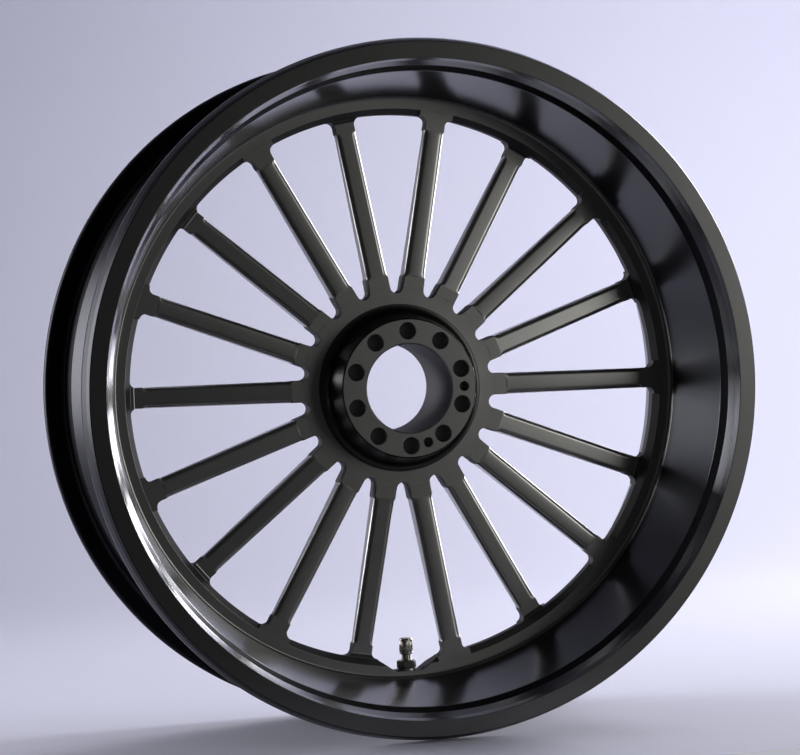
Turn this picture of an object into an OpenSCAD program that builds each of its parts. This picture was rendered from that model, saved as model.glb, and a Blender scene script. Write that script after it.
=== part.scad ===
// Forged racing wheel rim with staggered spokes and a clamp-in tyre valve.
// Millimetres. Y is the wheel's axis, its outer side faces -Y, +Z is up and the valve is at the bottom.
// The origin is the centre of the wheel, on its axis and midway between the two flanges.

/* [Rim] */
// Diameter of the bead seats, at the heel
bead_d = 436.6; // [400:0.1:480]
// Height of each flange over its bead seat
flange_h = 14; // [11:0.5:17]
// Width between the tyre-side faces of the flanges
rim_w = 139.7; // [115:0.1:170]
// Thickness of each flange, along the axis
flange_t = 16.15; // [13:0.05:20]
// Width of the flat machined ring on each flange face
flange_face_w = 11.1; // [7:0.1:12]
// Width of each bead seat, from the flange to the hump
seat_w = 21; // [16:0.5:26]
// Height of the round hump behind each bead seat
hump_h = 0.9; // [0.4:0.1:1.5]
// Depth of the centre well under the bead seats
well_depth = 15.3; // [13:0.1:19]
// Width of the flat floor of the centre well
well_w = 18; // [12:0.5:24]
// Thickness of the barrel wall beside the centre well
wall_t = 4.6; // [3.8:0.1:6]
// Thickness of the barrel wall under the bead seats
seat_wall_t = 6.6; // [5:0.1:8]

/* [Centre ring] */
// Thickness of the ring that carries the spokes, along the axis
ring_w = 14; // [12:0.5:20]
// Width of the ring's flat face
ring_face_w = 7.3; // [5:0.1:10]
// Bevel on the ring's inner edges
ring_bevel = 4; // [2:0.1:5]

/* [Hub] */
// Diameter of the bore
bore_d = 60; // [45:0.5:64]
// Diameter of the hub's end faces
boss_d = 95; // [90:0.5:104]
// Length of the hub
hub_len = 60; // [44:1:80]
// Diameter of the hub where its side meets the web
hub_base_d = 115; // [112:0.5:122]
// Radius of the web, where the spokes start
web_r = 69.6; // [66:0.1:76]
// Number of blind holes on each end face
hub_holes = 10; // [4:1:12]
// Diameter of the circle that the blind holes sit on
hub_pcd = 78; // [74:0.5:82]
// Diameter of a blind hole on the outer end face
hub_hole_d = 11; // [8:0.5:11.5]
// Diameter of a blind hole on the inner end face
rear_hole_d = 9; // [6:0.5:11.5]
// Depth of a blind hole
hub_hole_depth = 12; // [8:0.5:16]
// Diameter of a dowel hole
dowel_d = 6; // [4:0.5:7]
// Depth of a dowel hole
dowel_depth = 14; // [8:0.5:16]

/* [Spokes] */
// Number of spokes on each side; the two sides alternate
spokes_per_side = 9; // [7:1:10]
// Width of a spoke at the hub
spoke_w_hub = 14.8; // [11:0.1:16]
// Width of a spoke at the ring
spoke_w_rim = 13.8; // [10:0.1:16]
// Thickness of a spoke at the ring
spoke_t_rim = 8.7; // [7.5:0.1:11]
// Bevel along the edges of a spoke
spoke_bevel = 3; // [1.5:0.1:3.4]
// Radius of the corners where a spoke meets the ring
corner_r = 4.5; // [2:0.1:6]

/* [Valve] */
// Diameter of the valve stem, where it passes through the rim
stem_d = 8; // [7:0.1:10]
// Clearance round the stem in its hole
stem_gap = 0.15; // [0.1:0.01:0.3]
// Thickness of the rim under the valve
valve_wall = 8; // [5:0.1:9]
// Width of the flat that the valve nut sits on
seat_flat_w = 19; // [16:0.5:24]
// Width of the scoop round the valve, at the ring's inner edge
scoop_w = 40; // [30:1:42]
// Size of the valve nut across its flats
nut_af = 12; // [11:0.5:14]
// Height of the valve nut
nut_h = 5.4; // [4:0.1:7]
// Thickness of the washer under the nut
washer_t = 1.2; // [0.8:0.1:2]
// Height of the stem's neck, between the nut and the cap
neck_h = 4.4; // [3:0.1:8]
// Diameter of the neck
neck_d = 6.4; // [6.2:0.1:7]
// Diameter of the thread under the cap
mouth_d = 7.7; // [7.5:0.1:8]
// Clearance round that thread in the cap
cap_gap = 0.09; // [0.05:0.01:0.15]
// Length of the cap
cap_len = 11; // [9:0.1:14]
// Wall thickness of the cap
cap_wall = 0.75; // [0.6:0.05:1.2]
// Diameter of the valve's foot and of the rubber seal, inside the tyre
foot_d = 16; // [13:0.5:17]

/* [Hidden] */
$fn = 96;
eps = 0.5;                                  // overrun of a cutting tool past the face that it opens

bead_r = bead_d/2;
rim_r = bead_r + flange_h;                  // largest radius of the flanges
bead_y = rim_w/2;                           // tyre-side face of a flange
face_y = bead_y + flange_t;                 // outer face of a flange
edge_r = 4;                                 // rounding of a flange's tyre-side edge
heel_r = 3.2;                               // rounding between a bead seat and its flange
face_drop = 3.1;                            // how far the flange's edge falls back to its flat face
face_out_r = rim_r - face_drop;
face_in_r = face_out_r - flange_face_w;
seat_taper = tan(5);
hump_y = bead_y - seat_w;
hump_r = bead_r - (seat_w - heel_r)*seat_taper + hump_h;
well_r = bead_r - well_depth;
flank_y = hump_y - 3.5;                     // where the well's flank starts to fall away
flank_r = hump_r - hump_h;
split_y = well_w/2 + 3;                     // plane where the barrel's sections meet
split_r = well_r + (flank_r - well_r)*(split_y - well_w/2)/(flank_y - well_w/2);
lip_y = bead_y - 1.4;                       // inner end of the flange's thick lip
lip_r = flank_r - seat_wall_t + 1;
ring_out_r = well_r - wall_t;               // outer edge of the ring's flat face
ring_y = ring_w/2;
ring_face_r = ring_out_r - ring_face_w;     // inner edge of the ring's flat face
ring_in_r = ring_face_r - ring_bevel;
split_in_r = ring_out_r + (lip_r - ring_out_r)*(split_y - ring_y)/(lip_y - ring_y);
lip_edge_y = bead_y + 3.6;                  // edge between the lip's two slopes
lip_edge_r = face_in_r - 3.6;

hub_y = hub_len/2;
base_fillet = 6;
boss_bevel = 0.8;
hole_first = 180/hub_holes;                 // angle of the first blind hole
dowel_angles = [0, -72];

step = 360/spokes_per_side;                 // angle between two spokes of one side
scallop_r = web_r*sin(step/4) - spoke_w_hub/2;  // round end of a window, which meets both spokes' sides
root_len = 7;                               // length of a spoke's square root at the hub
toe_len = 3;                                // length of the ramp at its other end
toe_y = ring_y - spoke_t_rim;               // depth of that ramp's foot, from the mid-plane
bevel_run = 9;                              // length of a spoke's end that has no bevel

// the valve stands at the bottom of the wheel; heights are counted from its seat towards the axis
valve_seat_r = well_r - 0.5 - valve_wall;
seal_t = 2;
foot_t = 3;
nut_top = washer_t + nut_h;
cap_base = nut_top + neck_h;
cap_r = mouth_d/2 + cap_gap + cap_wall;
cap_top = cap_base + cap_len;
cap_roof = 1.2;
cap_seal_t = 0.5;
mouth_top = cap_top - cap_roof - cap_seal_t;
core_bore_r = 2.6;                          // bore for the valve core
air_r = 1.3;                                // air passage under it
core_floor = 3;
core_gap = 0.05;
housing_len = 7.5;
housing_top = mouth_top - 1;
gasket_t = 1;
pin_r = 0.7;
plunger_r = 2.1;
plunger_t = 0.8;
plunger_top = housing_top - housing_len - gasket_t;
spring_wire = 0.22;
spring_turns = 5;
spring_r = 1.7;

function arc(c, r, a, b, n = 6) = [for (i = [0:n]) c + r*[cos(a + (b - a)*i/n), sin(a + (b - a)*i/n)]];

// a closed outline of [radius, y] points, turned round the wheel's axis
module turned(outline) rotate([-90, 0, 0]) rotate_extrude($fn = 180) polygon(outline);
module at_angle(a) rotate([0, -a, 0]) children();
// a plan in the wheel's plane, centred on the mid-plane
module plate(t) rotate([90, 0, 0]) linear_extrude(t, center = true) children();
// a straight round piece along the wheel's axis, from y0 to y1
module axial(r, y0, y1) translate([0, y0, 0]) rotate([-90, 0, 0]) cylinder(r = r, h = y1 - y0);
module at_valve() translate([0, 0, -valve_seat_r]) children();
module disc(r, h0, h1) translate([0, 0, h0]) cylinder(r = r, h = h1 - h0);

// ---------- rim ----------

rim_side_outline = concat(
    [[split_in_r, split_y], [split_r, split_y], [flank_r, flank_y], [hump_r, hump_y - 1], [hump_r, hump_y + 1],
     [flank_r + 0.1, hump_y + 3.5]],
    arc([bead_r + heel_r, bead_y - heel_r], heel_r, 185, 90),
    arc([rim_r - edge_r, bead_y + edge_r], edge_r, -90, 0),
    [[rim_r - 0.5, bead_y + 8.5], [rim_r - 1.6, bead_y + 12.6], [face_out_r, face_y], [face_in_r, face_y],
     [face_in_r - 1.2, face_y - 5], [lip_edge_r, lip_edge_y], [lip_r, lip_y]]);

module rim_side() color("#33322f") turned(rim_side_outline);
module rim_rear() rim_side();
module rim_front() mirror([0, 1, 0]) rim_side();

ring_half_outline = [
    [split_r, split_y], [split_in_r, split_y], [ring_out_r, ring_y], [ring_face_r, ring_y],
    [ring_in_r, ring_y - ring_bevel]];
ring_outline = concat(
    [[well_r, well_w/2]], ring_half_outline,
    [for (i = [len(ring_half_outline) - 1:-1:0]) [ring_half_outline[i][0], -ring_half_outline[i][1]]],
    [[well_r, -well_w/2]]);
module ring_blank() turned(ring_outline);

module valve_scoop()
    plate(ring_w + 2*eps) polygon([
        [-seat_flat_w/2, -valve_seat_r], [seat_flat_w/2, -valve_seat_r],
        [scoop_w/2, -ring_in_r], [scoop_w/2, -ring_in_r + 4], [-scoop_w/2, -ring_in_r + 4],
        [-scoop_w/2, -ring_in_r]]);

module rim_centre_ring() color("#3b3a36") difference() {
    ring_blank();
    valve_scoop();
    at_valve() disc(stem_d/2 + stem_gap, -valve_wall - 2, eps);
    at_valve() disc(foot_d/2 + 0.5, -valve_wall - 3, -valve_wall);
}

// ---------- hub ----------

hub_half_outline = concat(
    [[bore_d/2 + boss_bevel, hub_y], [boss_d/2 - boss_bevel, hub_y], [boss_d/2, hub_y - boss_bevel],
     [hub_base_d/2 - base_fillet, ring_y + base_fillet]],
    arc([hub_base_d/2, ring_y + base_fillet], base_fillet, 180, 270),
    [[hub_base_d/2 + 1, ring_y]]);
hub_outline = concat(
    [[bore_d/2, hub_y - boss_bevel]], hub_half_outline,
    [for (i = [len(hub_half_outline) - 1:-1:0]) [hub_half_outline[i][0], -hub_half_outline[i][1]]],
    [[bore_d/2, -hub_y + boss_bevel]]);

module web_plan() difference() {
    circle(r = web_r);
    circle(r = hub_base_d/2 - 2);
    for (i = [0:2*spokes_per_side - 1]) rotate(step/4 + i*step/2) translate([web_r, 0]) circle(r = scallop_r);
}

module end_face_holes(side, hole_d, dowel_turn) {
    y0 = side > 0 ? hub_y - hub_hole_depth : -hub_y - eps;
    y1 = side > 0 ? hub_y + eps : -hub_y + hub_hole_depth;
    for (i = [0:hub_holes - 1]) at_angle(hole_first + i*360/hub_holes) translate([hub_pcd/2, 0, 0])
        axial(hole_d/2, y0, y1);
    d0 = side > 0 ? hub_y - dowel_depth : -hub_y - eps;
    d1 = side > 0 ? hub_y + eps : -hub_y + dowel_depth;
    for (a = dowel_angles) at_angle(a + dowel_turn) translate([hub_pcd/2, 0, 0]) axial(dowel_d/2, d0, d1);
}

module hub() color("#45443f") difference() {
    union() {
        turned(hub_outline);
        plate(ring_w) web_plan();
    }
    end_face_holes(-1, hub_hole_d, 0);
    // the inner face's dowels sit one hole further round, so that none is back to back with an outer one
    end_face_holes(1, rear_hole_d, 2*hole_first);
}

// ---------- spokes ----------

// the round corner between a spoke's side and the ring, as points from the spoke outwards
corner_reach = ring_in_r + 0.5 - corner_r;
corner_z = spoke_w_rim/2 + corner_r;
corner_x = sqrt(corner_reach*corner_reach - corner_z*corner_z);
corner_out = [corner_x, corner_z]*(ring_face_r + 3)/corner_reach;
corner_points = concat(
    [[web_r - 3, spoke_w_hub/2]],
    arc([corner_x, corner_z], corner_r, -90, atan(corner_z/corner_x), 8),
    [corner_out]);

module spoke_plan() polygon(concat(
    corner_points,
    [for (i = [len(corner_points) - 1:-1:0]) [corner_points[i][0], -corner_points[i][1]]]));

// side view of a front spoke: flush in front, its back rising from the hub to the ring
module spoke_side_view() polygon([
    [web_r - 3, -ring_y], [ring_face_r + 2, -ring_y], [ring_face_r + 2, ring_y - ring_bevel],
    [ring_in_r, ring_y - ring_bevel], [ring_in_r - toe_len, -toe_y], [web_r + root_len, ring_y],
    [web_r - 3, ring_y]]);

spoke_fall = atan((ring_y + toe_y)/(ring_in_r - toe_len - web_r - root_len));
edge_turn = atan((spoke_w_hub - spoke_w_rim)/2/(ring_in_r - web_r));

// a long square bar, whose corner cuts one of a spoke's four edges
module edge_bar(len) rotate([45, 0, 0])
    cube([len, spoke_bevel*sqrt(2), spoke_bevel*sqrt(2)], center = true);

module spoke_blank() {
    bevel_len = ring_in_r - web_r - 2*bevel_run;
    mid_x = (ring_in_r + web_r)/2;
    mid_w = (spoke_w_hub + spoke_w_rim)/4;
    back_y = ring_y - (ring_y + toe_y)*(mid_x - web_r - root_len)/(ring_in_r - toe_len - web_r - root_len);
    difference() {
        intersection() {
            plate(2*ring_w) spoke_plan();
            linear_extrude(2*(spoke_w_hub + corner_r), center = true) spoke_side_view();
            axial(ring_face_r, -ring_y, ring_y);
        }
        axial(web_r, -ring_w, ring_w);
        for (s = [-1, 1]) {
            translate([mid_x, -ring_y, s*mid_w]) rotate([0, s*edge_turn, 0]) edge_bar(bevel_len);
            translate([mid_x, back_y, s*mid_w]) rotate([0, s*edge_turn, -spoke_fall]) edge_bar(bevel_len);
        }
    }
}

module front_spoke(i) color("#4a4944") at_angle((i - 1)*step) difference() {
    spoke_blank();
    ring_blank();
}
module rear_spoke(i) color("#403f3b") at_angle((i - 0.5)*step) mirror([0, 1, 0]) difference() {
    spoke_blank();
    ring_blank();
}

// ---------- valve ----------

module valve_stem() color("#b9b7b0") at_valve() difference() {
    union() {
        disc(foot_d/2, -valve_wall - seal_t - foot_t, -valve_wall - seal_t);
        disc(stem_d/2, -valve_wall - seal_t - 1, nut_top + 0.8);
        disc(neck_d/2, nut_top, cap_base + 1);
        disc(mouth_d/2, cap_base - 0.4, mouth_top);
    }
    disc(air_r, -valve_wall - seal_t - foot_t - eps, core_floor + eps);
    disc(core_bore_r, core_floor, mouth_top + eps);
}

module valve_foot_seal() color("#1b1b1b") at_valve() difference() {
    disc(foot_d/2, -valve_wall - seal_t, -valve_wall);
    disc(stem_d/2, -valve_wall - seal_t - eps, -valve_wall + eps);
}

module valve_washer() color("#8c8b86") at_valve() difference() {
    disc(nut_af/2 + 0.6, 0, washer_t);
    disc(stem_d/2 + stem_gap, -eps, washer_t + eps);
}

module valve_nut() color("#55534e") at_valve() difference() {
    translate([0, 0, washer_t]) cylinder(d = nut_af/cos(30), h = nut_h, $fn = 6);
    disc(stem_d/2, washer_t - eps, nut_top + eps);
}

module core_housing() color("#b59a55") at_valve() difference() {
    disc(core_bore_r - core_gap, housing_top - housing_len, housing_top);
    disc(pin_r + core_gap, housing_top - housing_len - eps, housing_top + eps);
}

module core_gasket() color("#cf4b3a") at_valve() difference() {
    disc(core_bore_r - core_gap, housing_top - housing_len - gasket_t, housing_top - housing_len);
    disc(pin_r + 0.3, housing_top - housing_len - gasket_t - eps, housing_top - housing_len + eps);
}

module core_pin() color("#c9a95b") at_valve() union() {
    disc(pin_r, core_floor + 1.6, mouth_top - 0.3);
    disc(plunger_r, plunger_top - 2*plunger_t, plunger_top - plunger_t);
}

module core_plunger_seal() color("#222222") at_valve() difference() {
    disc(plunger_r, plunger_top - plunger_t, plunger_top);
    disc(pin_r, plunger_top - plunger_t - eps, plunger_top + eps);
}

// a coil spring between the floor of the stem's bore and the plunger
module core_spring() {
    low = core_floor + spring_wire;
    high = plunger_top - 2*plunger_t - spring_wire;
    steps = 14*spring_turns;
    sides = 6;
    ring_points = [for (i = [0:steps], k = [0:sides - 1])
        let (a = 360*spring_turns*i/steps, b = 360*k/sides, r = spring_r + spring_wire*cos(b))
        [r*cos(a), r*sin(a), low + (high - low)*i/steps + spring_wire*sin(b)]];
    walls = [for (i = [0:steps - 1], k = [0:sides - 1])
        let (p = i*sides + k, q = i*sides + (k + 1)%sides) [p, q, q + sides, p + sides]];
    ends = [[for (k = [sides - 1:-1:0]) k], [for (k = [0:sides - 1]) steps*sides + k]];
    color("#9a9a98") at_valve() polyhedron(ring_points, concat(walls, ends));
}

module valve_cap() color("#a9a7a0") at_valve() difference() {
    union() {
        disc(cap_r, cap_base, cap_top - 1);
        translate([0, 0, cap_top - 1]) cylinder(r1 = cap_r, r2 = cap_r - 1, h = 1);
    }
    disc(mouth_d/2 + cap_gap, cap_base - eps, cap_top - cap_roof);
}

module cap_seal() color("#222222") at_valve() disc(mouth_d/2, mouth_top, cap_top - cap_roof);

// ---------- nodes ----------

rim_front();
rim_centre_ring();
rim_rear();
hub();
for (i = [1:spokes_per_side]) {
    front_spoke(i);
    rear_spoke(i);
}
valve_stem();
valve_foot_seal();
valve_washer();
valve_nut();
core_housing();
core_gasket();
core_pin();
core_plunger_seal();
core_spring();
valve_cap();
cap_seal();
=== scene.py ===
"""Forged racing wheel rim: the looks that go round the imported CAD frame.

Metres, in the row frame: Y is the wheel's axis and its outer side faces -Y, +Z is up, and the tyre
valve is at the bottom. Sizes are written in millimetres, as a drawing has them, and MM turns them to metres.
"""

import math

import bmesh
import bpy
from mathutils import Matrix, Vector


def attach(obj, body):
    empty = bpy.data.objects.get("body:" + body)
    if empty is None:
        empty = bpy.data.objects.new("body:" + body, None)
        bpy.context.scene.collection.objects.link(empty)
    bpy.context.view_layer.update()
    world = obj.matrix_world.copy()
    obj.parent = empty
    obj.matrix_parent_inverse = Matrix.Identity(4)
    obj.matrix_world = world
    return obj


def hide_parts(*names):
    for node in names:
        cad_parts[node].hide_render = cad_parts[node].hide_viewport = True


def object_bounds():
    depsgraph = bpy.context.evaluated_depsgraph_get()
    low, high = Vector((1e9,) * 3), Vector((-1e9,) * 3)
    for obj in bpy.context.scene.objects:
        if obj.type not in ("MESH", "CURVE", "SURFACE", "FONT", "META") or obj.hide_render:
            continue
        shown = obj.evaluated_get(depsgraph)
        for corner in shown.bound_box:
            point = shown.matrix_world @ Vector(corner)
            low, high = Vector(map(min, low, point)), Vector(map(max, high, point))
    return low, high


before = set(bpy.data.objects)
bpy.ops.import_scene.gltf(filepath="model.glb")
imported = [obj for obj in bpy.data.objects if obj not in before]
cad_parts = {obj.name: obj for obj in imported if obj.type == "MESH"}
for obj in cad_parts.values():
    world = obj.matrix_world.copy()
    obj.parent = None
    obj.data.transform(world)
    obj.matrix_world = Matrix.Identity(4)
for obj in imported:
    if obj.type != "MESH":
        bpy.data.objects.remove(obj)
cad_low, cad_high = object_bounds()
scene = bpy.context.scene

MM = 0.001

# ---------- sizes of the wheel, in millimetres ----------

RIM_R = cad_high.x / MM  # largest radius of the flanges
FACE_Y = cad_high.y / MM  # outer face of a flange
BEAD_R = 218.3  # bead seat, at the heel
BEAD_Y = 69.85  # tyre-side face of a flange
FACE_OUT_R = RIM_R - 3.1  # flat turned ring on the flange
FACE_IN_R = FACE_OUT_R - 11.1
HUMP_Y, HUMP_R = 48.85, 217.64
FLANK_Y, FLANK_R = 45.35, 216.74
WELL_R, WELL_HALF = 203.0, 9.0
SPLIT_Y, SPLIT_R, SPLIT_IN_R = 12.0, 204.13, 199.44
LIP_Y, LIP_R = 68.45, 211.14
LIP_EDGE_Y, LIP_EDGE_R = 73.45, 214.5

RING_Y = 7.0  # half the thickness of the ring, the web and the spokes' roots
RING_OUT_R, RING_FACE_R, RING_IN_R = 198.4, 191.1, 187.1
RING_BEVEL = 4.0

HUB_Y, BORE_R, BOSS_R, HUB_BASE_R = 30.0, 30.0, 47.5, 57.5
BASE_FILLET = 6.0
WEB_R = 69.6
HOLE_CIRCLE_R, HOLE_R, REAR_HOLE_R, HOLE_DEPTH, HOLES = 39.0, 5.5, 4.5, 12.0, 10
DOWEL_R, DOWEL_DEPTH = 3.0, 14.0
DOWEL_ANGLES = (0.0, -72.0)
HALF_HOLE_STEP = 180 / HOLES

SPOKES = 9  # on each side
SPOKE_STEP = 360 / SPOKES
HALF_W_HUB, HALF_W_RIM = 7.4, 6.9  # half the width of a spoke
SPOKE_ROUND = 3.3  # rounding along its edges
SPOKE_BACK_RIM = 1.7  # where its back face ends, at the ring
TOE = 3.0  # ramp between that back face and the ring
ROOT = 7.0  # square root at the hub
CORNER_R = 4.5
EDGE_BREAK = 0.3  # small rounding of an edge that is left square
SCALLOP_R = WEB_R * math.sin(math.radians(SPOKE_STEP / 4)) - HALF_W_HUB

SEAT_R = 194.5  # seat of the valve nut, counted from the wheel's axis
SEAT_FLAT, SCOOP = 19.0, 40.0  # widths of the scoop round the valve
VALVE_ANGLE = -90.0


# ---------- small helpers ----------


def srgb(code):
    """A colour written as sRGB hex, as the linear RGBA that a shader takes."""
    parts = [int(code[i : i + 2], 16) / 255 for i in (0, 2, 4)]
    return tuple(c / 12.92 if c <= 0.04045 else ((c + 0.055) / 1.055) ** 2.4 for c in parts) + (1.0,)


def add_node(tree, kind, settings=None, inputs=None, **links):
    """One node with its settings, its fixed inputs and its linked inputs, spaces as underscores."""
    node = tree.nodes.new(kind)
    for name, value in (settings or {}).items():
        setattr(node, name, value)
    for name, value in (inputs or {}).items():
        node.inputs[name].default_value = value
    for name, source in links.items():
        key = int(name[1:]) if name[0] == "_" else name.replace("_", " ")
        tree.links.new(source, node.inputs[key])
    return node


def rounded(corners, steps=5):
    """A closed outline with its corners rounded.

    A corner is (radius, y, rounding, finish), and finish is that of the side that starts at it."""
    outline = []
    for i, (r, y, rounding, finish) in enumerate(corners):
        here = Vector((r, y))
        before = Vector(corners[i - 1][:2]) - here
        after = Vector(corners[(i + 1) % len(corners)][:2]) - here
        if rounding <= 0:
            outline.append((r, y, finish))
            continue
        half = before.angle(after) / 2
        reach = min(rounding / math.tan(half), 0.48 * before.length, 0.48 * after.length)
        radius = reach * math.tan(half)
        centre = here + (before.normalized() + after.normalized()).normalized() * (radius / math.sin(half))
        start = here + before.normalized() * reach - centre
        turn = math.pi - 2 * half
        side = 1 if before.x * after.y - before.y * after.x < 0 else -1
        for k in range(steps + 1):
            a = side * turn * k / steps
            p = centre + Vector(
                (start.x * math.cos(a) - start.y * math.sin(a), start.x * math.sin(a) + start.y * math.cos(a))
            )
            outline.append((p.x, p.y, finish if k == steps else corners[i - 1][3]))
    return outline


def finish_piece(name, mesh, materials, sharp=32):
    """Links a closed mesh as a piece, faces turned outwards and shaded smooth between sharp edges."""
    for material in materials:
        mesh.materials.append(material)
    bm = bmesh.new()
    bm.from_mesh(mesh)
    bmesh.ops.remove_doubles(bm, verts=bm.verts, dist=2e-6)
    bmesh.ops.dissolve_degenerate(bm, edges=bm.edges, dist=1e-7)
    bmesh.ops.recalc_face_normals(bm, faces=bm.faces)
    bm.to_mesh(mesh)
    bm.free()
    mesh.polygons.foreach_set("use_smooth", [True] * len(mesh.polygons))
    mesh.set_sharp_from_angle(angle=math.radians(sharp))
    piece = bpy.data.objects.new(name, mesh)
    scene.collection.objects.link(piece)
    return piece


def even_shading(piece):
    """Keeps wide faces flat next to small roundings."""
    shading = piece.modifiers.new("Even shading", "WEIGHTED_NORMAL")
    shading.mode = "FACE_AREA_WITH_ANGLE"
    shading.keep_sharp = True


def mesh_of(name, points, faces, finishes=None):
    """A mesh from points in millimetres."""
    mesh = bpy.data.meshes.new(name)
    mesh.from_pydata([tuple(c * MM for c in p) for p in points], [], faces)
    if finishes:
        mesh.polygons.foreach_set("material_index", finishes)
    return mesh


def swept(name, columns, outline_at):
    """A closed mesh swept round the wheel's axis; outline_at(angle) gives (radius, y, finish)."""
    points, faces, finishes = [], [], []
    for angle in columns:
        c, s = math.cos(math.radians(angle)), math.sin(math.radians(angle))
        outline = outline_at(angle)
        points += [(r * c, y, r * s) for r, y, _ in outline]
    count = len(outline)
    for j in range(len(columns)):
        a, b = j * count, (j + 1) % len(columns) * count
        for i in range(count):
            k = (i + 1) % count
            faces.append((a + i, a + k, b + k, b + i))
            finishes.append(outline[i][2])
    return mesh_of(name, points, faces, finishes)


def round_valve(name, columns, outline_at):
    """A closed mesh swept round the valve's axis: outline_at(angle) gives (radius, height over the seat)."""
    points, faces = [], []
    for angle in columns:
        c, s = math.cos(math.radians(angle)), math.sin(math.radians(angle))
        outline = outline_at(angle)
        points += [(r * c, r * s, h - SEAT_R) for r, h in outline]
    count = len(outline)
    for j in range(len(columns)):
        a, b = j * count, (j + 1) % len(columns) * count
        faces += [(a + i, a + (i + 1) % count, b + (i + 1) % count, b + i) for i in range(count)]
    return mesh_of(name, points, faces)


def mirrored(outline):
    """The same outline on the wheel's other side."""
    return [(r, -y, finish) for r, y, finish in outline]


def even_columns(count, first=0.0):
    return [first + 360 * i / count for i in range(count)]


# ---------- materials ----------


def new_material(name):
    """An empty node tree with a Principled shader on its output."""
    material = bpy.data.materials.new(name)
    material.use_nodes = True
    tree = material.node_tree
    tree.nodes.clear()
    shader = add_node(tree, "ShaderNodeBsdfPrincipled")
    add_node(tree, "ShaderNodeOutputMaterial", Surface=shader.outputs["BSDF"])
    return material, tree, shader


def drive(tree, shader, **links):
    """Links sources to the shader's inputs, spaces written as underscores."""
    for name, source in links.items():
        tree.links.new(source, shader.inputs[name.replace("_", " ")])


def radius_from_axis(tree, position):
    """Distance from the wheel's axis, in metres."""
    flat = add_node(
        tree, "ShaderNodeVectorMath", {"operation": "MULTIPLY"}, {1: (1, 0, 1)}, _0=position
    )
    length = add_node(tree, "ShaderNodeVectorMath", {"operation": "LENGTH"}, _0=flat.outputs[0])
    return length.outputs["Value"]


def machined(name, dark, light, roughness, spread, tool_marks, mark_pitch_mm, coat=0.0, lengthwise=False):
    """Anodised or bare metal with cutter marks, and a clear oxide or lacquer over it where coat is above 0.

    The marks run round the wheel's axis, or along a spoke by its UV map when lengthwise. Colour and roughness
    wander slowly, as a dye bath and handling leave them."""
    material, tree, shader = new_material(name)
    position = add_node(tree, "ShaderNodeTexCoord").outputs["Object"]
    cloud = add_node(
        tree,
        "ShaderNodeTexNoise",
        None,
        {"Scale": 1 / (38 * MM), "Detail": 3.0, "Roughness": 0.55},
        Vector=position,
    )
    grain = add_node(
        tree,
        "ShaderNodeTexNoise",
        None,
        {"Scale": 1 / (0.9 * MM), "Detail": 2.0, "Roughness": 0.6},
        Vector=position,
    )
    if lengthwise:
        across = add_node(tree, "ShaderNodeSeparateXYZ", _0=add_node(tree, "ShaderNodeUVMap").outputs["UV"])
        along = add_node(
            tree, "ShaderNodeMath", {"operation": "MULTIPLY"}, {1: 0.02}, _0=across.outputs["X"]
        )
        lines_at = add_node(tree, "ShaderNodeCombineXYZ", X=along.outputs[0], Y=across.outputs["Y"])
        lines_at = lines_at.outputs[0]
    else:
        height = add_node(tree, "ShaderNodeSeparateXYZ", _0=position)
        lines_at = add_node(
            tree,
            "ShaderNodeCombineXYZ",
            X=radius_from_axis(tree, position),
            Y=height.outputs["Y"],
        ).outputs[0]
    marks = add_node(
        tree,
        "ShaderNodeTexNoise",
        None,
        {"Scale": 1 / (mark_pitch_mm * MM), "Detail": 2.0, "Roughness": 0.5},
        Vector=lines_at,
    )
    colour = add_node(
        tree,
        "ShaderNodeMix",
        {"data_type": "RGBA"},
        {6: srgb(dark), 7: srgb(light)},
        Factor=cloud.outputs["Factor" if "Factor" in cloud.outputs else "Fac"],
    )
    rough = add_node(
        tree,
        "ShaderNodeMapRange",
        None,
        {"From Min": 0.25, "From Max": 0.75, "To Min": roughness - spread, "To Max": roughness + spread},
        Value=grain.outputs[0],
    )
    relief = add_node(
        tree,
        "ShaderNodeBump",
        None,
        {"Strength": tool_marks, "Distance": 0.03 * MM},
        Height=marks.outputs[0],
    )
    shader.inputs["Metallic"].default_value = 1.0
    shader.inputs["Coat Weight"].default_value = coat
    drive(
        tree,
        shader,
        Base_Color=colour.outputs[2],
        Roughness=rough.outputs["Result"],
        Normal=relief.outputs["Normal"],
    )
    # painted shade: the side walls at a spoke's square ends take the windows' dark wall colour
    if lengthwise:
        paint_shade_on_root_walls(tree, shader, colour.outputs[2], rough.outputs["Result"], across.outputs["X"])
    shader.inputs["Coat Roughness"].default_value = 0.18
    shader.inputs["Coat IOR"].default_value = 1.6
    return material


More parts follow.
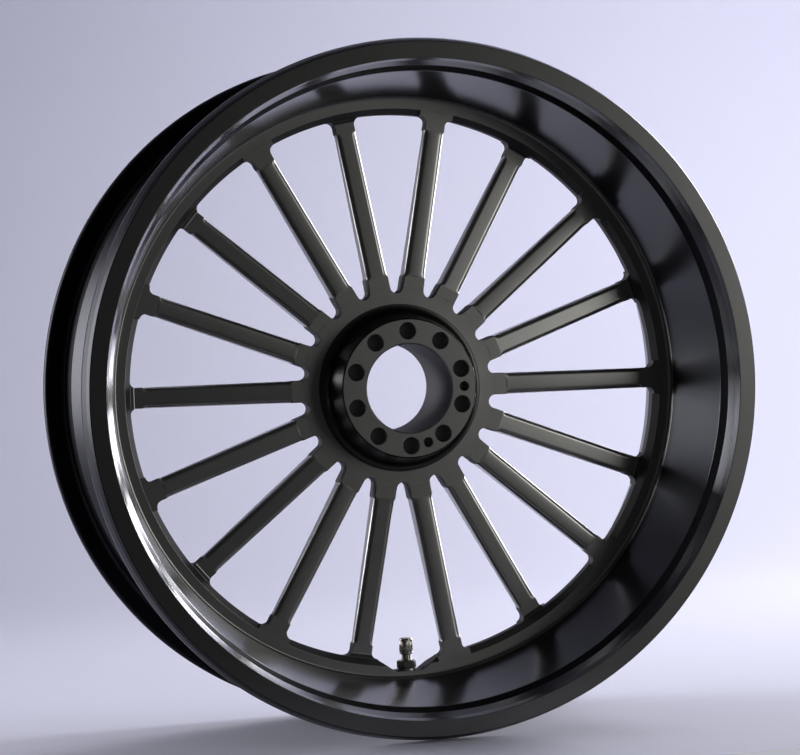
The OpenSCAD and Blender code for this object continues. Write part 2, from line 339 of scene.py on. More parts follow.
def paint_shade_on_root_walls(tree, shader, colour, rough, along):
    """Paints shade on the sides of a spoke's two square ends, in the dark colour, rough non-metal finish and
    missing coat of the windows' walls.
    """
    hub_end = add_node(
        tree,
        "ShaderNodeMapRange",
        None,
        {"From Min": (WEB_R + ROOT) * MM, "From Max": (WEB_R + ROOT + 1) * MM, "To Min": 1.0, "To Max": 0.0},
        Value=along,
    )
    ring_end = add_node(
        tree,
        "ShaderNodeMapRange",
        None,
        {"From Min": (RING_IN_R - 10) * MM, "From Max": (RING_IN_R - 9) * MM},
        Value=along,
    )
    ends = add_node(
        tree, "ShaderNodeMath", {"operation": "MAXIMUM"}, None, _0=hub_end.outputs[0], _1=ring_end.outputs[0]
    )
    normal = add_node(tree, "ShaderNodeNewGeometry").outputs["Normal"]
    facing = add_node(tree, "ShaderNodeSeparateXYZ", _0=normal)
    flatness = add_node(tree, "ShaderNodeMath", {"operation": "ABSOLUTE"}, None, _0=facing.outputs["Y"])
    sideways = add_node(
        tree,
        "ShaderNodeMapRange",
        None,
        {"From Min": 0.925, "From Max": 0.97, "To Min": 1.0, "To Max": 0.0},
        Value=flatness.outputs[0],
    )
    mask = add_node(
        tree, "ShaderNodeMath", {"operation": "MULTIPLY"}, None, _0=ends.outputs[0], _1=sideways.outputs[0]
    )
    shaded_colour = add_node(
        tree,
        "ShaderNodeMix",
        {"data_type": "RGBA"},
        {7: srgb(PAINTED_SHADE_WALL_COLOUR)},
        Factor=mask.outputs[0],
        _6=colour,
    )
    dull = add_node(tree, "ShaderNodeMix", None, {3: WALL_ROUGHNESS}, Factor=mask.outputs[0], _2=rough)
    metal = add_node(tree, "ShaderNodeMath", {"operation": "SUBTRACT"}, {0: 1.0}, _1=mask.outputs[0])
    clear = add_node(
        tree,
        "ShaderNodeMath",
        {"operation": "MULTIPLY"},
        {1: shader.inputs["Coat Weight"].default_value},
        _0=metal.outputs[0],
    )
    drive(
        tree,
        shader,
        Base_Color=shaded_colour.outputs[2],
        Roughness=dull.outputs[0],
        Metallic=metal.outputs[0],
        Coat_Weight=clear.outputs[0],
    )


def painted_shade_wall(name):
    """Walls of the windows, left as milled: rough and dull, with a very dark colour that is painted shade in
    the windows' recesses.
    """
    material, tree, shader = new_material(name)
    position = add_node(tree, "ShaderNodeTexCoord").outputs["Object"]
    grain = add_node(
        tree, "ShaderNodeTexNoise", None, {"Scale": 1 / (0.6 * MM), "Detail": 3.0}, Vector=position
    )
    colour = add_node(
        tree,
        "ShaderNodeMix",
        {"data_type": "RGBA"},
        {6: srgb("262627"), 7: srgb("303031")},
        Factor=grain.outputs[0],
    )
    rough = add_node(
        tree,
        "ShaderNodeMapRange",
        None,
        {"To Min": WALL_ROUGHNESS - 0.06, "To Max": WALL_ROUGHNESS + 0.06},
        Value=grain.outputs[0],
    )
    relief = add_node(
        tree, "ShaderNodeBump", None, {"Strength": 0.15, "Distance": 0.02 * MM}, Height=grain.outputs[0]
    )
    drive(
        tree,
        shader,
        Base_Color=colour.outputs[2],
        Roughness=rough.outputs["Result"],
        Normal=relief.outputs["Normal"],
    )
    return material


def moulded(name, colour, roughness):
    """Rubber with the fine grain of its mould."""
    material, tree, shader = new_material(name)
    position = add_node(tree, "ShaderNodeTexCoord").outputs["Object"]
    grain = add_node(
        tree, "ShaderNodeTexNoise", None, {"Scale": 1 / (0.4 * MM), "Detail": 3.0}, Vector=position
    )
    rough = add_node(
        tree,
        "ShaderNodeMapRange",
        None,
        {"To Min": roughness - 0.08, "To Max": roughness + 0.08},
        Value=grain.outputs[0],
    )
    relief = add_node(
        tree, "ShaderNodeBump", None, {"Strength": 0.25, "Distance": 0.02 * MM}, Height=grain.outputs[0]
    )
    drive(tree, shader, Roughness=rough.outputs["Result"], Normal=relief.outputs["Normal"])
    shader.inputs["Base Color"].default_value = srgb(colour)
    return material


# the windows' walls: their dark colour is painted shade, their roughness is the milled finish's
PAINTED_SHADE_WALL_COLOUR, WALL_ROUGHNESS = "2A2A2B", 0.7

# graphite anodised 6061 forging, milled and left satin, with painted shade on the side walls at the spokes'
# square ends
SPOKE_FINISH = machined(
    "graphite anodised, milled along", "868683", "939390", 0.34, 0.04, 0.10, 0.8, 0.6, True
)
# the same anodising over a lathe-turned surface
TURNED_FINISH = machined("graphite anodised, turned", "868683", "939390", 0.34, 0.04, 0.12, 0.7, 0.6)
# walls of the windows between the spokes, their dark colour painted shade
SHADED_WALL_FINISH = painted_shade_wall("graphite anodised walls, painted shade")
# deep drop side of the hub, turned finer; its darker colour is painted shade on the boss's side and base
# fillet
SHADED_HUB_SIDE_FINISH = machined("graphite anodised, fine turned, painted shade", "3C3C3B", "464644", 0.38, 0.04, 0.10, 0.5)
# black anodised outside of the barrel, where the tyre sits
BARREL_FINISH = machined("black anodised barrel", "232327", "29292D", 0.38, 0.04, 0.12, 0.9)
# black anodised and polished bore of the barrel
BORE_FINISH = machined("black anodised, polished bore", "2C2D30", "333437", 0.24, 0.03, 0.08, 0.9, 0.3)
# flat turned ring on the flange
FACE_FINISH = machined("graphite anodised, turned face", "5A5A59", "636361", 0.36, 0.04, 0.20, 0.6)
# nickel plate on brass
NICKEL = machined("nickel plated brass", "A9A49A", "B6B2A8", 0.24, 0.04, 0.08, 0.3)
# zinc plated steel washer
ZINC = machined("zinc plated steel", "9A9A98", "A6A6A4", 0.34, 0.05, 0.10, 0.3)
# darkened steel nut
BLACKENED = machined("blackened steel", "55524E", "605D58", 0.36, 0.05, 0.10, 0.4)
# plain turned brass of the valve core
BRASS = machined("turned brass", "C9A458", "D3B068", 0.28, 0.04, 0.10, 0.3)
# drawn spring wire
SPRING_WIRE = machined("drawn spring wire", "A9A9A6", "B4B4B0", 0.26, 0.04, 0.05, 0.2)
# nitrile seals
RUBBER = moulded("black nitrile rubber", "1B1B1C", 0.62)


# ---------- rim ----------

OUTSIDE, FACE, BORE = 0, 1, 2


def rim_outline():
    """Half of the rim, from the joint at its centre to the flange and back along the bore."""
    return rounded(
        [
            (SPLIT_IN_R, SPLIT_Y, 0, OUTSIDE),
            (SPLIT_R, SPLIT_Y, 0, OUTSIDE),
            (FLANK_R, FLANK_Y, 5, OUTSIDE),
            (HUMP_R, HUMP_Y - 1, 2, OUTSIDE),
            (HUMP_R, HUMP_Y + 1, 2, OUTSIDE),
            (FLANK_R + 0.1, HUMP_Y + 3.5, 2, OUTSIDE),
            (BEAD_R, BEAD_Y, 3.2, OUTSIDE),
            (RIM_R, BEAD_Y, 4.0, OUTSIDE),
            (RIM_R, BEAD_Y + 6, 3.0, OUTSIDE),
            (RIM_R - 1.6, BEAD_Y + 12.6, 2.0, OUTSIDE),
            (FACE_OUT_R, FACE_Y, 0.6, FACE),
            (FACE_IN_R, FACE_Y, 0.4, BORE),
            (FACE_IN_R - 1.2, FACE_Y - 5, 1.5, BORE),
            (LIP_EDGE_R, LIP_EDGE_Y, 2.5, BORE),
            (LIP_R, LIP_Y, 3.0, BORE),
        ]
    )


rim_columns = even_columns(360)
rear_rim_outline = rim_outline()
front_rim_outline = mirrored(rear_rim_outline)
rim_finishes = [BARREL_FINISH, FACE_FINISH, BORE_FINISH]
front_rim = finish_piece(
    "front_rim", swept("front_rim", rim_columns, lambda angle: front_rim_outline), rim_finishes, 40
)
rear_rim = finish_piece(
    "rear_rim", swept("rear_rim", rim_columns, lambda angle: rear_rim_outline), rim_finishes, 40
)
for rim in (front_rim, rear_rim):
    even_shading(rim)


# ---------- centre ring, with its scoop for the valve ----------

scoop_slope = (SCOOP - SEAT_FLAT) / 2 / (SEAT_R - RING_IN_R)


def scoop_radius(angle):
    """Radius of the scoop's wall at this angle, or 0 away from the valve."""
    turn = math.radians((angle - VALVE_ANGLE + 180) % 360 - 180)
    if abs(turn) > math.radians(10):
        return 0.0
    floor = SEAT_R / math.cos(turn)
    reach = SEAT_R * scoop_slope + SEAT_FLAT / 2
    flank = reach / (scoop_slope * math.cos(turn) + math.sin(abs(turn)))
    return min(floor, flank)


def ring_outline(angle):
    inner_r = max(RING_IN_R, scoop_radius(angle))
    inner_y = min(RING_Y - EDGE_BREAK, RING_Y - RING_BEVEL + inner_r - RING_IN_R)
    face_r = max(RING_FACE_R, inner_r + EDGE_BREAK)
    half = [
        (inner_r, inner_y, EDGE_BREAK, 2),
        (face_r, RING_Y, EDGE_BREAK, 0),
        (RING_OUT_R, RING_Y, 1.5, 0),
        (SPLIT_IN_R, SPLIT_Y, 0, 0),
        (SPLIT_R, SPLIT_Y, 0, 1),
        (WELL_R, WELL_HALF, 2.0, 1),
    ]
    other = [(r, -y, rounding, finish) for r, y, rounding, finish in reversed(half)]
    finishes = [2, 0, 0, 0, 1, 1, 1, 0, 0, 0, 2, 2]
    return rounded([(r, y, rounding, f) for (r, y, rounding, _), f in zip(half + other, finishes)], 3)


scoop_edge = math.degrees(math.asin(SCOOP / 2 / RING_IN_R))
seat_edge = math.degrees(math.atan(SEAT_FLAT / 2 / SEAT_R))
near_valve = [VALVE_ANGLE + turn for turn in (-scoop_edge, -seat_edge, seat_edge, scoop_edge)]
near_valve += [VALVE_ANGLE - 8 + 0.25 * i for i in range(65)]
ring_columns = sorted(set(near_valve + [VALVE_ANGLE + 8 + i for i in range(1, 344)]))
# the ring's inner bevel and wall take the wall finish, whose dark colour is painted shade
ring = finish_piece(
    "centre_ring",
    swept("centre_ring", ring_columns, ring_outline),
    [TURNED_FINISH, BARREL_FINISH, SHADED_WALL_FINISH],
    28,
)
even_shading(ring)


# ---------- hub ----------

WEB, DROP, WALL = 0, 1, 2


def scallop_columns():
    """(angle, radius of the web's edge, is it a root) all round: arcs, and the spokes' roots."""
    columns = []
    for i in range(2 * SPOKES):
        middle = SPOKE_STEP / 4 + i * SPOKE_STEP / 2
        for k in range(19):
            # the arc ends where the spokes' sides run off it at a tangent
            a = math.radians(90 + SPOKE_STEP / 4 + (180 - SPOKE_STEP / 2) * k / 18)
            x, z = WEB_R + SCALLOP_R * math.cos(a), -SCALLOP_R * math.sin(a)
            columns.append((middle + math.degrees(math.atan2(z, x)), math.hypot(x, z), False))
        last_angle, root_r, _ = columns[-1]
        gap = 2 * (middle + SPOKE_STEP / 4 - last_angle)
        columns += [(last_angle + gap * k / 5, root_r, True) for k in range(1, 5)]
    return sorted(columns)


def hub_outline(edge_r, is_root):
    chamfer = 0.8
    fillet = [
        (
            HUB_BASE_R - BASE_FILLET * math.cos(math.radians(a)),
            RING_Y + BASE_FILLET * (1 - math.sin(math.radians(a))),
            0,
            DROP,
        )
        for a in range(0, 90, 15)
    ]
    half = [
        (BORE_R, HUB_Y - chamfer, 0.15, WEB),
        (BORE_R + chamfer, HUB_Y, 0.15, WEB),
        (BOSS_R - chamfer, HUB_Y, 0.3, DROP),
        (BOSS_R, HUB_Y - chamfer, 0.3, DROP),
        *fillet,
        (HUB_BASE_R, RING_Y, 0, WEB),
        (edge_r, RING_Y, 0.001 if is_root else EDGE_BREAK, WALL),
    ]
    other = [
        (r, -y, rounding, half[i - 1][3]) for i, (r, y, rounding, _) in reversed(list(enumerate(half)))
    ]
    return rounded(half + other, 3)


hub_columns = {angle: (edge, is_root) for angle, edge, is_root in scallop_columns()}
# the boss's drop side takes a darker finish, which is painted shade
hub_mesh = swept("hub", sorted(hub_columns), lambda angle: hub_outline(*hub_columns[angle]))
# the web's scallop walls take the wall finish, whose dark colour is painted shade
hub = finish_piece("hub", hub_mesh, [TURNED_FINISH, SHADED_HUB_SIDE_FINISH, SHADED_WALL_FINISH], 28)


def drill(radius, depth):
    """A flat-bottomed cutter into the hub's outer face at +X, with a small countersink."""
    sink, over = 0.5, 1.0
    outline = [
        (0.0, -HUB_Y - over),
        (radius + sink + over, -HUB_Y - over),
        (radius, -HUB_Y + sink),
        (radius, -HUB_Y + depth),
        (0.0, -HUB_Y + depth),
    ]
    points, faces, sides = [], [], 40
    for j in range(sides):
        a = 2 * math.pi * j / sides
        points += [(HOLE_CIRCLE_R + r * math.cos(a), y, r * math.sin(a)) for r, y in outline]
    count = len(outline)
    for j in range(sides):
        a, b = j * count, (j + 1) % sides * count
        faces += [(a + i, a + i + 1, b + i + 1, b + i) for i in range(count - 1)]
    return finish_piece("drill", mesh_of("drill", points, faces), [], 32)


def repeated_round_axis(name):
    """A Geometry Nodes tree that repeats one part evenly round the wheel's axis, from +X towards +Z.

    Inputs: the part, how many of it, the first one's angle, the step between them, and the material."""
    tree = bpy.data.node_groups.new(name, "GeometryNodeTree")
    side = tree.interface.new_socket
    side("Geometry", in_out="INPUT", socket_type="NodeSocketGeometry")
    side("Count", in_out="INPUT", socket_type="NodeSocketInt")
    side("First angle", in_out="INPUT", socket_type="NodeSocketFloat")
    side("Step", in_out="INPUT", socket_type="NodeSocketFloat")
    side("Material", in_out="INPUT", socket_type="NodeSocketMaterial")
    side("Geometry", in_out="OUTPUT", socket_type="NodeSocketGeometry")
    given = add_node(tree, "NodeGroupInput")
    spots = add_node(tree, "GeometryNodePoints", Count=given.outputs["Count"])
    copies = add_node(
        tree, "GeometryNodeInstanceOnPoints", Points=spots.outputs[0], Instance=given.outputs["Geometry"]
    )
    number = add_node(tree, "GeometryNodeInputIndex")
    turned = add_node(
        tree, "ShaderNodeMath", {"operation": "MULTIPLY_ADD"}, None,
        _0=number.outputs[0], _1=given.outputs["Step"], _2=given.outputs["First angle"],
    )
    radians = add_node(tree, "ShaderNodeMath", {"operation": "RADIANS"}, None, _0=turned.outputs[0])
    rotation = add_node(
        tree, "FunctionNodeAxisAngleToRotation", None, {"Axis": (0, -1, 0)}, Angle=radians.outputs[0]
    )
    placed = add_node(
        tree, "GeometryNodeRotateInstances", None, {"Local Space": False},
        Instances=copies.outputs[0], Rotation=rotation.outputs[0],
    )
    solid = add_node(tree, "GeometryNodeRealizeInstances", Geometry=placed.outputs[0])
    dressed = add_node(
        tree, "GeometryNodeSetMaterial", Geometry=solid.outputs[0], Material=given.outputs["Material"]
    )
    add_node(tree, "NodeGroupOutput", Geometry=dressed.outputs[0])
    return tree


ROUND_AXIS = repeated_round_axis("Repeated round the axis")


def repeat_round_axis(part, name, count, first_angle, step, material):
    """Runs the tree on a part and returns the result as a plain mesh object; the part itself is removed."""
    values = {"Count": count, "First angle": float(first_angle), "Step": float(step), "Material": material}
    modifier = part.modifiers.new(name, "NODES")
    for socket in ROUND_AXIS.interface.items_tree:
        if socket.in_out == "INPUT" and socket.name in values:
            modifier_key = socket.identifier
            values[modifier_key] = values.pop(socket.name)
    modifier.node_group = ROUND_AXIS
    for key, value in values.items():
        modifier[key] = value
    bpy.context.view_layer.update()
    made = bpy.data.meshes.new_from_object(part.evaluated_get(bpy.context.evaluated_depsgraph_get()))
    made.name = name
    bpy.data.objects.remove(part)
    piece = bpy.data.objects.new(name, made)
    scene.collection.objects.link(piece)
    return piece


def cut(piece, cutter):
    """Takes the cutter's shape out of the piece, exactly, and removes the cutter."""
    modifier = piece.modifiers.new("Cut", "BOOLEAN")
    modifier.operation, modifier.solver, modifier.object = "DIFFERENCE", "EXACT", cutter
    bpy.context.view_layer.update()
    made = bpy.data.meshes.new_from_object(piece.evaluated_get(bpy.context.evaluated_depsgraph_get()))
    piece.modifiers.remove(modifier)
    piece.data = made
    bpy.data.objects.remove(cutter)


def flipped(piece):
    """Turns a piece over to the wheel's other side, by mirroring it in Y."""
    piece.data.transform(Matrix.Scale(-1, 4, (0, 1, 0)))
    piece.data.flip_normals()
    return piece


def drill_side(radius, dowel_turn, rear):
    """All the holes of one end face, cut out of the hub."""
    blind, dowel = drill(radius, HOLE_DEPTH), drill(DOWEL_R, DOWEL_DEPTH)
    if rear:
        blind, dowel = flipped(blind), flipped(dowel)
    cut(hub, repeat_round_axis(blind, "blind_holes", HOLES, HALF_HOLE_STEP, 360 / HOLES, TURNED_FINISH))
    cut(
        hub,
        repeat_round_axis(
            dowel,
            "dowel_holes",
            2,
            DOWEL_ANGLES[1] + dowel_turn,
            DOWEL_ANGLES[0] - DOWEL_ANGLES[1],
            TURNED_FINISH,
        ),
    )


drill_side(HOLE_R, 0, False)
drill_side(REAR_HOLE_R, 2 * HALF_HOLE_STEP, True)
hub.data.set_sharp_from_angle(angle=math.radians(28))
even_shading(hub)


# ---------- spokes ----------


def spoke_half_width(x):
    return HALF_W_HUB + (HALF_W_RIM - HALF_W_HUB) * (x - WEB_R) / (RING_IN_R - WEB_R)


def spoke_back(x):
    """How far behind the mid-plane a spoke's back face is."""
    root_end, toe_start = WEB_R + ROOT, RING_IN_R - TOE
    if x <= root_end:
        return RING_Y
    if x <= toe_start:
        return RING_Y + (SPOKE_BACK_RIM - RING_Y) * (x - root_end) / (toe_start - root_end)
    return SPOKE_BACK_RIM + (RING_Y - RING_BEVEL - SPOKE_BACK_RIM) * min(1, (x - toe_start) / TOE)


def spoke_rounding(x):
    """Radius along the edges: full size between two short run-outs that a ball-ended cutter leaves."""
    first, last, run = WEB_R + ROOT - 0.4, RING_IN_R - 9.0, 3.5
    inside = min((x - first) / run, (last - x) / run, 1.0)
    if inside <= 0:
        return EDGE_BREAK
    return max(EDGE_BREAK, SPOKE_ROUND * math.sqrt(1 - (1 - inside) ** 2))


def spoke_section(half_width, back, rounding, crown, steps=7):
    """Cross-section of a spoke as (y, z) points, starting in the middle of its outer flat."""
    points = []
    for y_side, z_side in ((-RING_Y, 1), (back, 1), (back, -1), (-RING_Y, -1)):
        out_y = -1 if y_side < 0 else 1
        centre_y, centre_z = y_side - out_y * rounding, z_side * (half_width - rounding)
        turn = [90 * k / steps for k in range(steps + 1)]
        if out_y * z_side > 0:
            turn.reverse()
        for a in turn:
            a = math.radians(a)
            round_y = centre_y + out_y * rounding * math.cos(a)
            round_z = centre_z + z_side * rounding * math.sin(a)
            points.append((round_y, round_z))
    flat = [-0.6, -0.3, 0.0, 0.3, 0.6]
    width = half_width - rounding
    return points + [(-RING_Y - crown * (1 - (f / 1.0) ** 2), f * width) for f in flat]


def spoke_stations():
    """(rounding, half width, back, crown, x as a function of y and z) from the hub to the ring."""
    stations = []

    def station(rounding, half_width, back, crown, x_at):
        stations.append((rounding, half_width, back, crown, x_at))

    root_r = math.hypot(WEB_R * math.cos(math.radians(SPOKE_STEP / 4)), HALF_W_HUB)
    station(0.02, HALF_W_HUB, RING_Y, 0.0, lambda y, z: math.sqrt(root_r**2 - z**2))
    first, last = WEB_R + ROOT - 0.4, RING_IN_R - 9.0
    xs = [70.5, 72.5, 74.5, first, WEB_R + ROOT]
    xs += [first + 3.5 * (1 - math.cos(math.radians(a))) for a in (12, 25, 37, 50, 63, 76, 90)]
    xs += [88, 100, 112, 124, 136, 148, 160, 170]
    xs += [last - 3.5 * (1 - math.cos(math.radians(a))) for a in (90, 76, 63, 50, 37, 25, 12, 0)]
    xs += [180.0]
    for x in sorted(xs):
        rounding = spoke_rounding(x)
        crown = 0.08 if rounding > 2 else 0.0
        station(rounding, spoke_half_width(x), spoke_back(x), crown, lambda y, z, x=x: x)
    side = HALF_W_RIM + CORNER_R
    reach = RING_IN_R - CORNER_R
    centre_x = math.sqrt(reach**2 - side**2)
    end_turn = math.degrees(math.atan2(side, centre_x))
    for k in range(13):
        part = k / 12
        a = math.radians(-90 + (90 + end_turn) * part)
        edge_x, edge_z = centre_x + CORNER_R * math.cos(a), side + CORNER_R * math.sin(a)
        middle_x = centre_x + (RING_IN_R - centre_x) * part

        def x_at(y, z, edge_x=edge_x, edge_z=edge_z, middle_x=middle_x):
            return middle_x - (middle_x - edge_x) * (z / edge_z) ** 2

        station(EDGE_BREAK if k < 12 else 0.02, edge_z, spoke_back(edge_x), 0.0, x_at)
    end_z = (RING_IN_R) * math.sin(math.radians(end_turn))

    def into_ring(y, z):
        radius = RING_IN_R + max(0.05, min(RING_BEVEL, -(RING_Y - RING_BEVEL) - y))
        return math.sqrt(radius**2 - z**2)

    station(0.02, end_z * 1.02, RING_Y - RING_BEVEL, 0.0, into_ring)
    return stations


def spoke():
    """One spoke along +X, its UV map in metres: U along it, V round its section."""
    points, runs, faces = [], [], []
    stations = spoke_stations()
    for rounding, half_width, back, crown, x_at in stations:
        section = spoke_section(half_width, back, rounding, crown)
        points += [(x_at(y, z), y, z) for y, z in section]
        steps = [math.dist(section[i - 1], section[i]) for i in range(1, len(section))]
        runs.append([0.0] + [sum(steps[: i + 1]) for i in range(len(steps))])
        runs[-1].append(runs[-1][-1] + math.dist(section[-1], section[0]))
    count = len(section)
    for j in range(len(stations) - 1):
        a, b = j * count, (j + 1) * count
        faces += [(a + i, a + (i + 1) % count, b + (i + 1) % count, b + i) for i in range(count)]
    faces.append(tuple(range(count)))
    faces.append(tuple(range((len(stations) - 1) * count, len(stations) * count)))
    mesh = mesh_of("spoke", points, faces)
    layer = mesh.uv_layers.new(name="UVMap")
    for face in mesh.polygons:
        places = [divmod(mesh.loops[k].vertex_index, count) for k in face.loop_indices]
        wraps = len(places) == 4 and {0, count - 1} <= {i for _, i in places}
        for k, (j, i) in zip(face.loop_indices, places):
            run = runs[j][count] if wraps and i == 0 else runs[j][i]
            layer.data[k].uv = (points[j * count + i][0] * MM, run * MM)
    return finish_piece("spoke", mesh, [], 32)


front_spokes = repeat_round_axis(spoke(), "front_spokes", SPOKES, 0, SPOKE_STEP, SPOKE_FINISH)
rear_spokes = repeat_round_axis(
    flipped(spoke()), "rear_spokes", SPOKES, SPOKE_STEP / 2, SPOKE_STEP, SPOKE_FINISH
)
for spokes in (front_spokes, rear_spokes):
    spokes.data.set_sharp_from_angle(angle=math.radians(32))
    even_shading(spokes)


# ---------- valve, heights counted from its seat towards the wheel's axis ----------

WASHER_T, NUT_AF, NUT_TOP = 1.2, 12.0, 6.6
CAP_BASE, CAP_TOP, CAP_R, CAP_BORE_R, CAP_ROOF = 11.0, 22.0, 4.69, 3.94, 20.8
THREAD_R, THREAD_DEPTH, THREAD_PITCH, MOUTH_TOP = 3.85, 0.35, 0.794, 20.3
STEM_R, NECK_R, CORE_BORE_R, AIR_R, CORE_FLOOR = 4.0, 3.2, 2.6, 1.3, 3.0
FOOT_R, FOOT_TOP, FOOT_BASE = 8.0, -10.0, -13.0


def nut_outline(angle):
    """A hexagon nut with both ends chamfered round."""
    reach = NUT_AF / 2 / math.cos(math.radians(angle % 60 - 30))
    chamfer_r = NUT_AF / 2 - 0.2
    drop = 0.05 + (reach - chamfer_r) * math.tan(math.radians(30))
    return [
        (STEM_R, WASHER_T),
        (chamfer_r, WASHER_T),
        (reach, WASHER_T + drop),
        (reach, NUT_TOP - drop),
        (chamfer_r, NUT_TOP),
        (STEM_R + 0.5, NUT_TOP),
        (STEM_R, NUT_TOP - 0.5),
    ]


nut = finish_piece("nut", round_valve("nut", even_columns(144), nut_outline), [BLACKENED], 20)


def thread_radius(angle, height):
    """A right-hand thread's surface: crest at THREAD_R, root below it, faded out at both ends."""
    phase = (height / THREAD_PITCH - angle / 360) % 1
    ends = max(0.0, min(1.0, (height - CAP_BASE - 0.4) / 0.5, (MOUTH_TOP - 0.4 - height) / 0.4))
    return THREAD_R - THREAD_DEPTH * (1 - abs(2 * phase - 1)) * ends


def stem_outline(angle):
    """The stem's foot, shank, neck and threaded mouth, and the core's bore down its middle."""
    outline = [
        (AIR_R, FOOT_BASE),
        (FOOT_R - 0.8, FOOT_BASE),
        (FOOT_R, FOOT_BASE + 0.8),
        (FOOT_R, FOOT_TOP - 0.2),
        (FOOT_R - 0.2, FOOT_TOP),
        (STEM_R, FOOT_TOP),
        (STEM_R, NUT_TOP + 0.4),
        (STEM_R - 0.4, NUT_TOP + 0.8),
        (NECK_R, NUT_TOP + 0.8),
        (NECK_R, CAP_BASE - 0.4),
        (THREAD_R - 0.3, CAP_BASE - 0.4),
    ]
    rows = int((MOUTH_TOP - CAP_BASE) / 0.13)
    for i in range(rows + 1):
        height = CAP_BASE + (MOUTH_TOP - 0.3 - CAP_BASE) * i / rows
        outline.append((thread_radius(angle, height), height))
    outline += [
        (THREAD_R - 0.35, MOUTH_TOP),
        (CORE_BORE_R + 0.1, MOUTH_TOP),
        (CORE_BORE_R, MOUTH_TOP - 0.2),
        (CORE_BORE_R, CORE_FLOOR),
        (AIR_R, CORE_FLOOR),
    ]
    return outline


stem = finish_piece("stem", round_valve("stem", even_columns(72), stem_outline), [NICKEL], 40)

KNURLS = 36


def cap_outline(angle):
    """A turned metal cap: a fine straight knurl between two plain bands, a rounded crown, and a bore."""
    groove = 0.16 * (0.5 + 0.5 * math.cos(math.radians(angle * KNURLS)))
    outline = [(CAP_BORE_R, CAP_BASE + 0.3), (CAP_BORE_R + 0.3, CAP_BASE), (CAP_R - 0.25, CAP_BASE)]
    outline += [
        (CAP_R - 0.05, CAP_BASE + 0.2),
        (CAP_R - 0.05, CAP_BASE + 1.2),
        (CAP_R - 0.2, CAP_BASE + 1.35),
    ]
    outline += [(CAP_R - 0.2, CAP_BASE + 1.7), (CAP_R - groove, CAP_BASE + 2.0)]
    outline += [(CAP_R - groove, CAP_TOP - 2.6), (CAP_R - 0.2, CAP_TOP - 2.3), (CAP_R - 0.2, CAP_TOP - 2.0)]
    for k in range(9):
        a = math.radians(90 * k / 8)
        outline.append((CAP_R - 1.65 + 1.6 * math.cos(a), CAP_TOP - 1.6 + 1.6 * math.sin(a)))
    outline += [(0.001, CAP_TOP), (0.001, CAP_ROOF), (CAP_BORE_R, CAP_ROOF)]
    return outline


cap = finish_piece("cap", round_valve("cap", even_columns(KNURLS * 8), cap_outline), [NICKEL], 35)


# ---------- who rides on what, and what stands for what ----------

for piece, nodes, slot in (
    (front_rim, ["rim_front"], "anodised_barrel"),
    (rear_rim, ["rim_rear"], "anodised_barrel"),
    (ring, ["rim_centre_ring"], "anodised_forging"),
    (hub, ["hub"], "anodised_forging"),
    (front_spokes, [f"front_spoke_{i + 1}" for i in range(SPOKES)], "anodised_forging"),
    (rear_spokes, [f"rear_spoke_{i + 1}" for i in range(SPOKES)], "anodised_forging"),
    (stem, ["valve_stem"], "valve_metal"),
    (nut, ["valve_nut"], "valve_nut_metal"),
):
    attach(piece, "wheel")
    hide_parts(*nodes)
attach(cap, "cap")
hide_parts("valve_cap")

# the remaining CAD nodes have the right shape and only take their finish
for node, material in (
    ("valve_washer", ZINC),
    ("valve_foot_seal", RUBBER),
    ("core_housing", BRASS),
    ("core_gasket", RUBBER),
    ("core_pin", BRASS),
    ("core_plunger_seal", RUBBER),
    ("core_spring", SPRING_WIRE),
    ("cap_seal", RUBBER),
):
    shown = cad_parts[node].data
    shown.materials.clear()
    shown.materials.append(material)


# ---------- floor and backdrop ----------


def seamless_backdrop():
    """A pale paper sweep: flat under the wheel, curving up behind it."""
    floor_z, back_y, bend, top, half_width = cad_low.z / MM - 0.3, 1500.0, 700.0, 3200.0, 4500.0
    profile = [(-220.0, floor_z), (back_y - bend, floor_z)]
    for k in range(1, 25):
        a = math.radians(90 * k / 24)
        profile.append((back_y - bend + bend * math.sin(a), floor_z + bend * (1 - math.cos(a))))
    profile.append((back_y, top))
    points = [(x, y, z) for y, z in profile for x in (-half_width, half_width)]
    faces = [(2 * i, 2 * i + 1, 2 * i + 3, 2 * i + 2) for i in range(len(profile) - 1)]
    mesh = mesh_of("backdrop", points, faces)
    material, tree, shader = new_material("pale matt paper")
    position = add_node(tree, "ShaderNodeTexCoord").outputs["Object"]
    fibre = add_node(
        tree, "ShaderNodeTexNoise", None, {"Scale": 1 / (6 * MM), "Detail": 2.0}, Vector=position
    )
    colour = add_node(
        tree,
        "ShaderNodeMix",
        {"data_type": "RGBA"},
        {6: srgb("DADAE8"), 7: srgb("DCDCEA")},
        Factor=fibre.outputs[0],
    )
    drive(tree, shader, Base_Color=colour.outputs[2])
    shader.inputs["Roughness"].default_value = 0.9
    # Seen from behind, the paper is clear, so the wheel's back can be looked at through it.
    output = next(n for n in tree.nodes if n.type == "OUTPUT_MATERIAL")
    behind = tree.nodes.new("ShaderNodeNewGeometry").outputs["Backfacing"]
    clear = tree.nodes.new("ShaderNodeBsdfTransparent").outputs[0]
    sheet = tree.nodes.new("ShaderNodeMixShader")
    tree.links.new(behind, sheet.inputs[0])
    tree.links.new(shader.outputs[0], sheet.inputs[1])
    tree.links.new(clear, sheet.inputs[2])
    tree.links.new(sheet.outputs[0], output.inputs["Surface"])
    mesh.materials.append(material)
    mesh.polygons.foreach_set("use_smooth", [True] * len(mesh.polygons))
    backdrop = bpy.data.objects.new("backdrop", mesh)
    scene.collection.objects.link(backdrop)


seamless_backdrop()


# ---------- light ----------


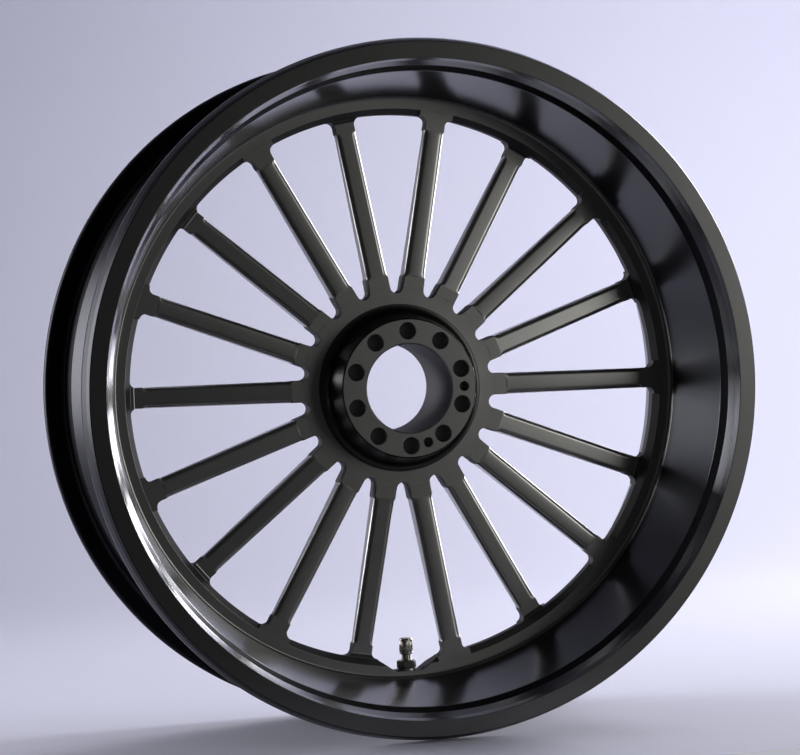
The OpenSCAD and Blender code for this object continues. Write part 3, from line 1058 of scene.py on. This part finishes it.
def soft_box(name, place, aim, width, height, power, colour, spread):
    """A rectangular soft box at a place in metres, turned to its aim, with a grid that narrows its beam."""
    data = bpy.data.lights.new(name, "AREA")
    data.shape, data.size, data.size_y = "RECTANGLE", width, height
    data.energy = power
    data.color = srgb(colour)[:3]
    data.spread = math.radians(spread)
    box = bpy.data.objects.new(name, data)
    box.location = place
    box.rotation_euler = (Vector(aim) - Vector(place)).to_track_quat("-Z", "Y").to_euler()
    scene.collection.objects.link(box)
    return box


def room(front, sides):
    """A dim even room: how bright it is in front of the wheel, and to its sides."""
    world = bpy.data.worlds.new("room")
    world.use_nodes = True
    tree = world.node_tree
    tree.nodes.clear()
    direction = add_node(tree, "ShaderNodeTexCoord").outputs["Generated"]
    seen = add_node(tree, "ShaderNodeSeparateXYZ", _0=direction)
    level = add_node(
        tree,
        "ShaderNodeMapRange",
        {"interpolation_type": "SMOOTHSTEP"},
        {"From Min": -0.45, "From Max": 0.25, "To Min": front, "To Max": sides},
        Value=seen.outputs["Y"],
    )
    glow = add_node(
        tree, "ShaderNodeBackground", None, {"Color": srgb("EEF0FA")}, Strength=level.outputs["Result"]
    )
    add_node(tree, "ShaderNodeOutputWorld", Surface=glow.outputs[0])
    scene.world = world


room(0.04, 0.55)
soft_box("right soft box", (1.3, 1.15, 0.1), (0.0, 0.0, 0.0), 0.8, 1.2, 9, "FAFAFF", 70)
soft_box("left soft box", (-1.5, 0.9, 0.2), (0.0, 0.0, 0.0), 0.6, 1.0, 4.5, "FAFAFF", 70)
soft_box("front right soft box", (1.3, -1.4, 0.2), (0.0, 0.0, 0.0), 0.7, 0.7, 1.9, "FEFDFB", 90)
soft_box("backdrop soft box", (1.4, 0.5, 1.4), (0.8, 1.5, -0.25), 1.6, 0.9, 17, "F6F6FF", 118)

scene.view_settings.view_transform = "Standard"
scene.view_settings.look = "None"
scene.view_settings.exposure = 0.0
scene.view_settings.gamma = 1.0


# ---------- camera ----------

CAMERA_PLACE = Vector((-541.1, -1815.0, 32.1)) * MM
CAMERA_AIM = Vector((-23.7, -86.0, 8.1)) * MM
CAMERA_LENS = 123.93
CAMERA_SENSOR = 36.0
CAMERA_ROLL = math.radians(2)  # the wheel leans by this much from its upright valve

camera_data = bpy.data.cameras.new("camera")
camera_data.lens = CAMERA_LENS
camera_data.sensor_width = CAMERA_SENSOR
camera = bpy.data.objects.new("camera", camera_data)
scene.collection.objects.link(camera)
turned = (CAMERA_AIM - CAMERA_PLACE).to_track_quat("-Z", "Y").to_matrix().to_4x4()
camera.matrix_world = Matrix.Rotation(CAMERA_ROLL, 4, "Y") @ Matrix.Translation(CAMERA_PLACE) @ turned
scene.camera = camera
